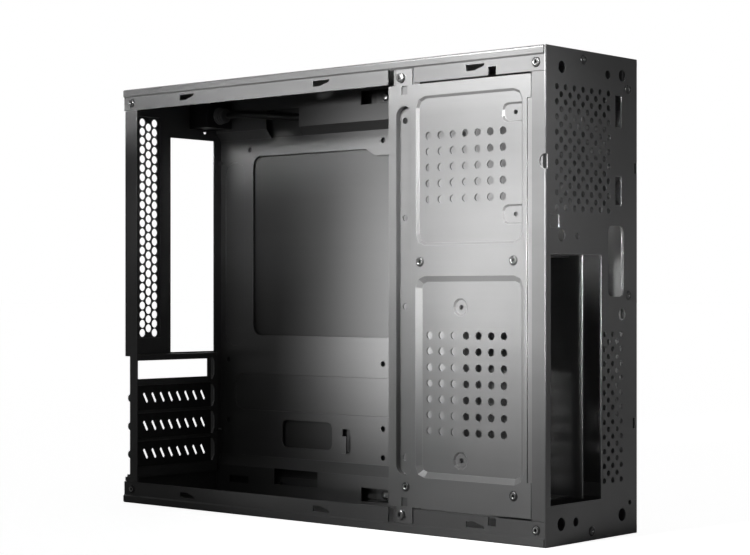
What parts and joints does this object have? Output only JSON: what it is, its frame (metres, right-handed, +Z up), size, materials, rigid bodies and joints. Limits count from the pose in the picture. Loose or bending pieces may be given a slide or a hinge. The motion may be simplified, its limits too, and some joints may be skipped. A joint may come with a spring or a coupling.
{
  "type": "slim computer case",
  "caption": "Slim sheet-steel computer case with one side open: perforated drive plate, board tray, vented rear panel, drive bay front and a short inlet lead.",
  "frame": {"origin": "bottom centre of the case, on the surface it stands on", "axes": "+X to the perforated front, -Y to the open side, +Z up"},
  "size_m": [0.3781, 0.1012, 0.298],
  "materials": {
    "coated_steel": "satin coated folded sheet",
    "tray_steel": "satin coated folded sheet",
    "plate_steel": "satin coated pressed sheet",
    "zinc": "zinc plated",
    "inlet_plastic": "moulded",
    "blade_metal": "plated",
    "boot_rubber": "moulded",
    "lead_jacket": "smooth jacket"
  },
  "bodies": {
    "root": {"top_panel": "coated_steel", "bottom_panel": "coated_steel", "rear_panel": "coated_steel", "front_panel": "coated_steel", "motherboard_tray": "tray_steel", "side_cover": "coated_steel", "drive_plate": "plate_steel", "drive_cage": "tray_steel", "slot_cover_upper": "plate_steel", "slot_cover_middle": "plate_steel", "slot_cover_lower": "plate_steel", "power_inlet": "inlet_plastic", "inlet_blades": "blade_metal", "inlet_boot": "boot_rubber", "power_lead": "lead_jacket", "corner_rivets": "zinc", "far_corner_rivets": "zinc", "cage_rivets": "zinc", "front_rivets": "zinc", "tray_rivets": "zinc", "plate_screws": "zinc", "slot_screws": "zinc", "cover_screws": "zinc"}
  },
  "joints": []
}
